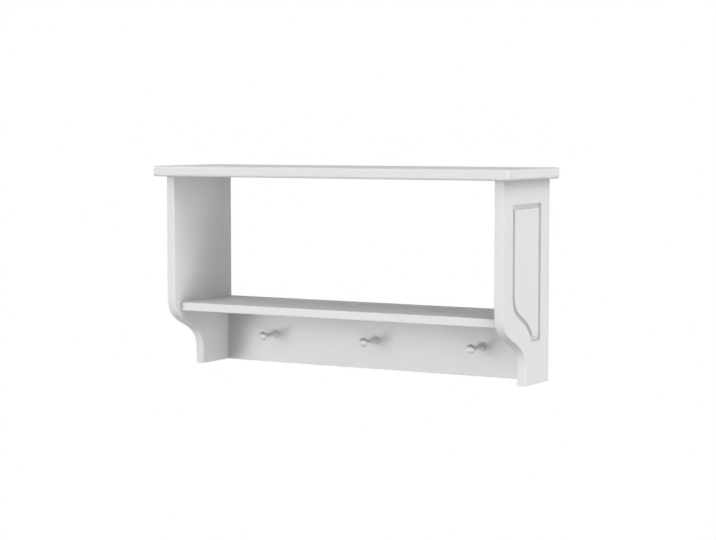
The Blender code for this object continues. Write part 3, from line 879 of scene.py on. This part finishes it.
turning_marks, given, gives = new_group(
    "turning_marks", [("Position", "Vector"), ("Rings", "Float")], [("Height", "Float"), ("Bands", "Float")]
)
along = add_node(turning_marks, "SeparateXYZ", {"Vector": given["Position"]}).outputs["Z"]
fewer = maths(turning_marks, "MULTIPLY", given["Rings"], BROAD_SHARE)
fine = ring_noise(turning_marks, along, given["Rings"], FINE_DETAIL)
broad = ring_noise(turning_marks, along, fewer, BROAD_DETAIL)
handled = noise(turning_marks, given["Position"], *HANDLING)
for label, parts in (
    ("Height", ((fine, 0.7), (broad, 0.3))),
    ("Bands", ((fine, 0.3), (broad, 0.3), (handled, 0.4))),
):
    turning_marks.links.new(blend_of(turning_marks, *parts), gives[label])
print("turning_marks:", len(turning_marks.nodes), "nodes")

# %% [markdown]
# Satin nickel is a nearly neutral grey metal. Its colour hardly changes, so a plain metallic grey would
# look like plastic. What makes it real is roughness that varies from ring to ring, a fine bump, and edges
# that hands have polished a little brighter. The shader is anisotropic too, with its tangent round the
# axis: rings scatter light across themselves, so a highlight is drawn out along the peg.

# %% Satin nickel
NICKEL = (0.720, 0.720, 0.716)
NICKEL_SHADE = (0.640, 0.640, 0.636)
NICKEL_RUBBED = (0.800, 0.800, 0.796)
NICKEL_RINGS = 3200.0
NICKEL_EDGE = {"Width": 0.0008, "Breakup": 300.0}
RUBBED_SHARE = 0.5
NICKEL_GLOSS = (0.26, 0.38)
NICKEL_BUMP = (0.20, 0.00008)
DRAWN_OUT = 0.8
QUARTER_TURN = 0.25

satin_nickel, tree, shader, place = new_finish("peg_satin_nickel")
marks = use_group(tree, turning_marks, {"Position": place, "Rings": NICKEL_RINGS})
rubbed = use_group(tree, edge_rub, {"Position": place, **NICKEL_EDGE})["Mask"]
metal = mix_colour(tree, marks["Bands"], NICKEL_SHADE, NICKEL)
colour = laid_over(tree, metal, rubbed, RUBBED_SHARE, NICKEL_RUBBED)
roughness = between(tree, marks["Bands"], *NICKEL_GLOSS)
feed_shader(tree, shader, colour, roughness, marks["Height"], NICKEL_BUMP)
round_the_axis = add_node(tree, "Tangent", direction_type="RADIAL", axis="Z").outputs["Tangent"]
tree.links.new(round_the_axis, shader.inputs["Tangent"])
shader.inputs["Anisotropic"].default_value = DRAWN_OUT
shader.inputs["Anisotropic Rotation"].default_value = QUARTER_TURN
shader.inputs["Metallic"].default_value = 1.0
print("peg_satin_nickel:", len(tree.nodes), "nodes")

# %% [markdown]
# A peg has a thin round foot against the rail, a stem that flares in to a slim waist, and a mushroom head
# that keeps a loop from slipping off. A cylinder and a ball would miss that flow, so three curves make
# the profile: foot to waist, waist to the rim of the head, and the rim over to the tip. It is built
# upright on the origin and then laid down, so that its axis is the Z axis of its own texture. A blind
# hole in the foot takes the screw.

# %% Pegs
PEG_SEGMENTS = 72
PEG_STEPS = 20
FOOT_RADIUS, FOOT_THICKNESS = 0.0085, 0.0014
FLARE_RADIUS, FLARE_REACH = 0.0062, 0.0036
WAIST_RADIUS, WAIST_BACK, WAIST_FRONT = 0.0040, 0.0120, 0.0135
WAIST_FROM_TIP = 0.0245
HEAD_BACK_RADIUS, HEAD_THICKNESS = 0.0080, 0.0105
RIM_RADIUS, RIM_FROM_TIP = 0.00885, 0.0062
TIP_ROUNDING, TIP_FLAT = 0.0028, 0.0049
PEG_HOLE_RADIUS, PEG_HOLE_TIP, PEG_HOLE_DEPTH, PEG_HOLE_TAPER = 0.0028, 0.0018, 0.0085, 0.0021


def peg_profile(length):
    """A peg from the bottom of its screw hole, over its foot and waist, to its tip."""
    hole = [(0.0, PEG_HOLE_DEPTH), (PEG_HOLE_TIP, PEG_HOLE_DEPTH)]
    hole += [(PEG_HOLE_RADIUS, PEG_HOLE_DEPTH - PEG_HOLE_TAPER), (PEG_HOLE_RADIUS, 0.0)]
    foot_edge = quarter_round(FOOT_THICKNESS / 2, EASED_STEPS)
    foot = [(FOOT_RADIUS - inset, rise) for inset, rise in foot_edge]
    waist = (WAIST_RADIUS, length - WAIST_FROM_TIP)
    rim = (RIM_RADIUS, length - RIM_FROM_TIP)
    stem = curve(
        (FOOT_RADIUS, FOOT_THICKNESS),
        (FLARE_RADIUS, FOOT_THICKNESS + FLARE_REACH),
        (WAIST_RADIUS, waist[1] - WAIST_BACK),
        waist,
        PEG_STEPS,
    )
    head_back = (HEAD_BACK_RADIUS, length - HEAD_THICKNESS)
    neck = curve(waist, (WAIST_RADIUS, waist[1] + WAIST_FRONT), head_back, rim, PEG_STEPS)
    dome = curve(rim, (RIM_RADIUS, length - TIP_ROUNDING), (TIP_FLAT, length), (0.0, length), PEG_STEPS)
    return hole + foot + stem + neck[1:] + dome[1:]


for node in ("peg_left", "peg_middle", "peg_right"):
    low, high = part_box(node)
    foot_place = Vector(((low.x + high.x) / 2, high.y, (low.z + high.z) / 2))
    laid_down = stand(foot_place, Vector((0, -1, 0)))
    bm = bmesh.new()
    add_turning(bm, peg_profile(high.y - low.y), PEG_SEGMENTS)
    make_piece(f"turned_{node}", bm, satin_nickel, node, place=laid_down)

# %% [markdown]
# Screws and keyhole plates are zinc plated. Zinc settles in small crystals, so the surface breaks up into
# pale and darker cells a few millimetres wide, each with its own gloss. Noise alone would give soft
# clouds without borders, so Voronoi cells make the pattern, with some noise to smudge it.

# %% Zinc bloom group
SMUDGE_DETAIL = 5.0

zinc_bloom, given, gives = new_group(
    "zinc_bloom", [("Position", "Vector"), ("Crystals", "Float")], [("Shade", "Float"), ("Height", "Float")]
)
crystal = add_node(zinc_bloom, "TexVoronoi", {"Vector": given["Position"], "Scale": given["Crystals"]})
crystal_shade = add_node(zinc_bloom, "SeparateColor", {"Color": crystal.outputs["Color"]}).outputs["Red"]
smudge = noise(zinc_bloom, given["Position"], given["Crystals"], SMUDGE_DETAIL)
for label, parts in (
    ("Shade", ((crystal_shade, 0.55), (smudge, 0.45))),
    ("Height", ((crystal.outputs["Distance"], 0.5), (smudge, 0.5))),
):
    zinc_bloom.links.new(blend_of(zinc_bloom, *parts), gives[label])
print("zinc_bloom:", len(zinc_bloom.nodes), "nodes")

# %% [markdown]
# The screws are turned before they are plated and the plates are pressed from sheet, so one zinc finish
# would be wrong for one of them. Both share the bloom and the bright edges, and the screws have turning
# marks under the zinc as well.

# %% Zinc finishes
ZINC_PALE = (0.66, 0.67, 0.68)
ZINC_DARK = (0.50, 0.51, 0.53)
ZINC_RUBBED = (0.76, 0.77, 0.78)
ZINC_EDGE = {"Width": 0.0005, "Breakup": 420.0}
ZINC_GLOSS = (0.28, 0.46)
ZINC_BUMP = (0.25, 0.00006)
SCREW_CRYSTALS, PLATE_CRYSTALS = 420.0, 260.0
SCREW_RINGS = 2600.0


def zinc_finish(name, crystals, rings=None):
    """Zinc plating. A turned piece has rings as well, and a pressed one has none."""
    material, tree, shader, place = new_finish(name)
    bloom = use_group(tree, zinc_bloom, {"Position": place, "Crystals": crystals})
    rubbed = use_group(tree, edge_rub, {"Position": place, **ZINC_EDGE})["Mask"]
    shade, height = bloom["Shade"], bloom["Height"]
    if rings:
        marks = use_group(tree, turning_marks, {"Position": place, "Rings": rings})
        shade = blend_of(tree, (shade, 0.7), (marks["Bands"], 0.3))
        height = blend_of(tree, (height, 0.5), (marks["Height"], 0.5))
    plating = mix_colour(tree, shade, ZINC_DARK, ZINC_PALE)
    colour = mix_colour(tree, rubbed, plating, ZINC_RUBBED)
    feed_shader(tree, shader, colour, between(tree, shade, *ZINC_GLOSS), height, ZINC_BUMP)
    shader.inputs["Metallic"].default_value = 1.0
    print(f"{name}: {len(tree.nodes)} nodes")
    return material


screw_zinc = zinc_finish("screw_zinc", SCREW_CRYSTALS, SCREW_RINGS)
plate_zinc = zinc_finish("keyhole_plate_zinc", PLATE_CRYSTALS)

# %% [markdown]
# The screws use the profile from above, with a small flat added to the rim of the head, as a rolled head
# has. The recess for the driver is a cross that narrows as it goes down. A dark cross painted on the head
# would do from afar, but a tapered cross cut into it is right from near as well.

# %% Screws
RIM_FLAT = 0.0002
RECESS_TAPER = 0.62


def cross(arm, height):
    """A cross, seen from above, with arms a quarter as wide as it is long."""
    half = arm / 4
    points = []
    for quarter in range(4):
        turn = Matrix.Rotation(quarter * math.pi / 2, 3, "Z")
        for x, y in ((half, half), (half, arm), (-half, arm)):
            points.append(turn @ Vector((x, y, 0)) + Vector((0, 0, height)))
    return points


def screw_shape(size):
    """The profile of a whole screw: the plain one, with the rim of its head flattened, and its face."""
    shape, face = screw_profile(size, 0.0), size["length"]
    edge = shape.pop()[0]
    shape += [(edge - RIM_FLAT, face - 2 * RIM_FLAT), (edge, face - RIM_FLAT), (edge - RIM_FLAT / 2, face)]
    return shape + [(0.0, face)]


for nodes, size in ((peg_screws, PEG_SCREW), (hanger_screws, HANGER_SCREW)):
    face, arm = size["length"], size["recess"]
    recess = ((arm * RECESS_TAPER, face - arm / 2), (arm, face), (arm, face + CUT_BEYOND))
    for node in nodes:
        bm, driver = bmesh.new(), bmesh.new()
        add_turning(bm, screw_shape(size), SCREW_SEGMENTS)
        add_solid(driver, [add_ring(driver, cross(*row)) for row in recess])
        make_piece(f"zinc_{node}", bm, screw_zinc, node, [driver], screw_place(node, size))

# %% [markdown]
# A keyhole plate is pressed from thin steel: rounded corners, edges softened by the press, two
# countersunk holes and the keyhole itself. The head of a wall screw goes in at the eye, and the shelf
# then drops so that the narrow slot above holds the shank. The keyhole could be one outline. But the eye
# and the slot are simple shapes that overlap, so they are cut one after the other.

# %% Keyhole plates
PLATE_CORNER = 0.003
PLATE_SOFT_EDGE = 0.0002
EYE_RADIUS = 0.0045
SLOT_HALF = 0.0023
SLOT_ROUND = 0.999 * SLOT_HALF
SLOT_RISE = 0.0095
EYE_DROP = 0.004
KEYHOLE_SEGMENTS = 48


def through_plate(outline, low, high):
    """A cutter with one outline, as (x, height), from before the plate to behind it."""
    made = bmesh.new()
    ends = (low.y - CUT_BEYOND, high.y + CUT_BEYOND)
    add_solid(made, [add_ring(made, [(x, y, z) for x, z in outline]) for y in ends])
    return made


def rectangle(left, right, bottom, top):
    """Its four corners, from the lower left one round."""
    return [(left, bottom), (right, bottom), (right, top), (left, top)]


def keyhole_plate(side):
    """A plate with its keyhole. The slot's end is a hair less than round, so that no points coincide."""
    node = f"hanger_plate_{side}"
    low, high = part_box(node)
    bm = bmesh.new()
    rings = []
    for inset, y in rounded_layers(low.y, high.y, PLATE_SOFT_EDGE, LIP_STEPS):
        corners = rectangle(low.x + inset, high.x - inset, low.z + inset, high.z - inset)
        row = round_corners(corners, (PLATE_CORNER - inset,) * 4, ROUND_STEPS)
        rings.append(add_ring(bm, [(x, y, z) for x, z in row]))
    add_solid(bm, rings)
    middle = (low + high) / 2
    eye_height = middle.z - EYE_DROP
    eye_round = circle(EYE_RADIUS, 0.0, KEYHOLE_SEGMENTS)
    eye = [(middle.x + point.x, eye_height + point.y) for point in eye_round]
    slot_end = eye_height + SLOT_RISE + SLOT_HALF
    corners = rectangle(middle.x - SLOT_HALF, middle.x + SLOT_HALF, eye_height, slot_end)
    slot = round_corners(corners, (0, 0, SLOT_ROUND, SLOT_ROUND), ROUND_STEPS)
    cutters = [through_plate(eye, low, high), through_plate(slot, low, high), plate_screw_rooms(side)]
    make_piece(f"zinc_{node}", bm, plate_zinc, node, cutters)


for side in ("left", "right"):
    keyhole_plate(side)

# %% [markdown]
# Beech is a pale pinkish-brown wood with short dark flecks along the grain. A picture of the wood would
# need to be wrapped round each dowel. The dowels are cut along the grain, and each one is built upright,
# so it is simpler to stretch noise along its own Z axis: that makes the fibres and the flecks.

# %% Beech
BEECH_PALE = (0.62, 0.43, 0.26)
BEECH_DARK = (0.44, 0.27, 0.14)
BEECH_FLECK = (0.30, 0.17, 0.09)
FIBRE_STRETCH, FIBRES = (1400.0, 1400.0, 60.0), (1.0, 4.0)
FLECK_STRETCH, FLECKS = (900.0, 900.0, 130.0), (1.0, 1.0)
FLECKS_FROM, FLECKS_TO = 0.62, 0.72
BEECH_GLOSS = (0.72, 0.55)
BEECH_BUMP = (0.3, 0.0001)

beech, tree, shader, place = new_finish("dowel_beech")
fibres = noise(tree, stretch(tree, place, FIBRE_STRETCH), *FIBRES)
flecks = ramp(tree, noise(tree, stretch(tree, place, FLECK_STRETCH), *FLECKS), FLECKS_FROM, FLECKS_TO)
wood = mix_colour(tree, flecks, mix_colour(tree, fibres, BEECH_DARK, BEECH_PALE), BEECH_FLECK)
feed_shader(tree, shader, wood, between(tree, fibres, *BEECH_GLOSS), fibres, BEECH_BUMP)
print("dowel_beech:", len(tree.nodes), "nodes")

# %% [markdown]
# Dowels for glued joints are fluted: fine grooves along them let air and spare glue out of the bore. A
# plain rod with a bump would look right from afar, but the grooves are simple enough to model: the radius
# of each ring goes in and out with the angle. Both ends are chamfered so that they find the bore.

# %% Dowels
FLUTES = 20
FLUTE_DEPTH = 0.0003
POINTS_PER_FLUTE = 6
DOWEL_CHAMFER = 0.0008


def fluted(radius, height):
    """One ring of a dowel, with a shallow groove at each flute."""
    points = []
    for index, point in enumerate(circle(1.0, 0.0, FLUTES * POINTS_PER_FLUTE)):
        wave = (1 - math.cos(math.tau * index / POINTS_PER_FLUTE)) / 2
        points.append(Vector((0, 0, height)) + point * (radius - FLUTE_DEPTH * wave))
    return points


for node in dowel_nodes:
    start, direction, length, radius = dowel_axis(node)
    chamfered, far = radius - DOWEL_CHAMFER, length - DOWEL_CHAMFER
    rows = [(chamfered, 0.0), (radius, DOWEL_CHAMFER), (radius, far), (chamfered, length)]
    bm = bmesh.new()
    add_solid(bm, [add_ring(bm, fluted(size, height)) for size, height in rows])
    make_piece(f"fluted_{node}", bm, beech, node, place=stand(start, direction))

# %% [markdown]
# The shelf hangs on a wall, so nothing stands under it. A pale round floor well below it still helps in
# views from above, because it catches a soft shadow. A square floor would show its edges there. This one
# fades to the white of the background at its rim, so that no edge cuts across the picture. It throws no
# light back, and so the paint looks the same with and without it.

# %% Floor
FLOOR_DROP = 1.1
FLOOR_RADIUS = 2.4
FLOOR_SEGMENTS = 96
FLOOR_GREY, FLOOR_PALE = (0.86, 0.86, 0.85), (0.90, 0.90, 0.89)
MOTTLE = (3.0, 5.0)
FLOOR_ROUGHNESS = 0.9
FLOOR_SPECULAR = 0.1
FADE_FROM = 0.25 * FLOOR_RADIUS
WHITE_LIGHT = {"Color": (1, 1, 1, 1), "Strength": 1.0}

pale_floor, tree, shader, place = new_finish("pale_floor")
mottled = mix_colour(tree, noise(tree, place, *MOTTLE), FLOOR_GREY, FLOOR_PALE)
tree.links.new(mottled, shader.inputs["Base Color"])
shader.inputs["Roughness"].default_value = FLOOR_ROUGHNESS
shader.inputs["Specular IOR Level"].default_value = FLOOR_SPECULAR
distance_out = add_node(tree, "VectorMath", {0: place}, operation="LENGTH").outputs["Value"]
fade = ramp(tree, distance_out, FADE_FROM, FLOOR_RADIUS)
glow = add_node(tree, "Emission", WHITE_LIGHT).outputs["Emission"]
blended = add_node(tree, "MixShader", {0: fade, 1: shader.outputs["BSDF"], 2: glow}).outputs["Shader"]
tree.links.new(blended, tree.nodes["Material Output"].inputs["Surface"])

bm = bmesh.new()
bm.faces.new(add_ring(bm, circle(FLOOR_RADIUS, 0.0, FLOOR_SEGMENTS)))
floor = bpy.data.objects.new("floor", mesh_from("floor", bm))
floor.location.z = -FLOOR_DROP
floor.data.materials.append(pale_floor)
floor.visible_diffuse = False
floor.visible_shadow = False
scene.collection.objects.link(floor)
print("floor", 2 * FLOOR_RADIUS, "m across")

# %% [markdown]
# The light is that of a bright studio. Two soft lights at the front left brighten the front and throw the
# faint shadows of the pegs on the rail. Four broad ones on the right, high, level and low, light the
# right upright and the inside of the left one. The last two are narrow and light the back and the left
# end, which the other lights hardly reach. Lamps with shades would do, but patches of light painted on
# the world are simpler to move: each has a direction, a sharpness and a strength. What the camera sees,
# and what the metal mirrors, is a plain white background.

# %% Studio light
# Degrees round from the front to the right, degrees up, sharpness, strength
LIGHT_PATCHES = (
    (-30, -8, 35, 0.42),
    (-22, 14, 35, 0.30),
    (73, 46, 12, 0.66),
    (77, 0, 12, 0.15),
    (65, -28, 25, 0.33),
    (130, -20, 12, 0.08),
    (180, 0, 300, 0.60),
    (-95, 0, 100, 0.50),
)


def middle_level(strength, sharpness):
    """How bright a patch is in its middle, if it lights a face that looks at it with this strength."""
    return strength / (2 * (1 / sharpness - (1 - math.exp(-sharpness)) / sharpness**2))


def patch_of_light(tree, sky_place, azimuth, elevation, sharpness):
    """A mask on the sky that is 1 in one direction and falls off all round it."""
    turn, rise = math.radians(azimuth), math.radians(elevation)
    towards = (math.sin(turn) * math.cos(rise), -math.cos(turn) * math.cos(rise), math.sin(rise))
    away = maths(tree, "SUBTRACT", likeness(tree, sky_place, towards), 1.0)
    return maths(tree, "EXPONENT", maths(tree, "MULTIPLY", away, sharpness))


world = bpy.data.worlds.new("studio")
scene.world = world
world.use_nodes = True
tree = world.node_tree
sky_place = add_node(tree, "TexCoord").outputs["Generated"]
patches = []
for azimuth, elevation, sharpness, strength in LIGHT_PATCHES:
    patch = patch_of_light(tree, sky_place, azimuth, elevation, sharpness)
    patches.append((patch, middle_level(strength, sharpness)))
studio = tree.nodes["Background"]
tree.links.new(blend_of(tree, *patches), studio.inputs["Color"])
backdrop = add_node(tree, "Background", WHITE_LIGHT).outputs["Background"]
ray = add_node(tree, "LightPath").outputs
seen = maths(tree, "MAXIMUM", ray["Is Camera Ray"], ray["Is Glossy Ray"])
seen = maths(tree, "MAXIMUM", seen, ray["Is Transmission Ray"])
shown = add_node(tree, "MixShader", {0: seen, 1: studio.outputs["Background"], 2: backdrop})
tree.links.new(shown.outputs["Shader"], tree.nodes["World Output"].inputs["Surface"])
print("light patches:", len(LIGHT_PATCHES))
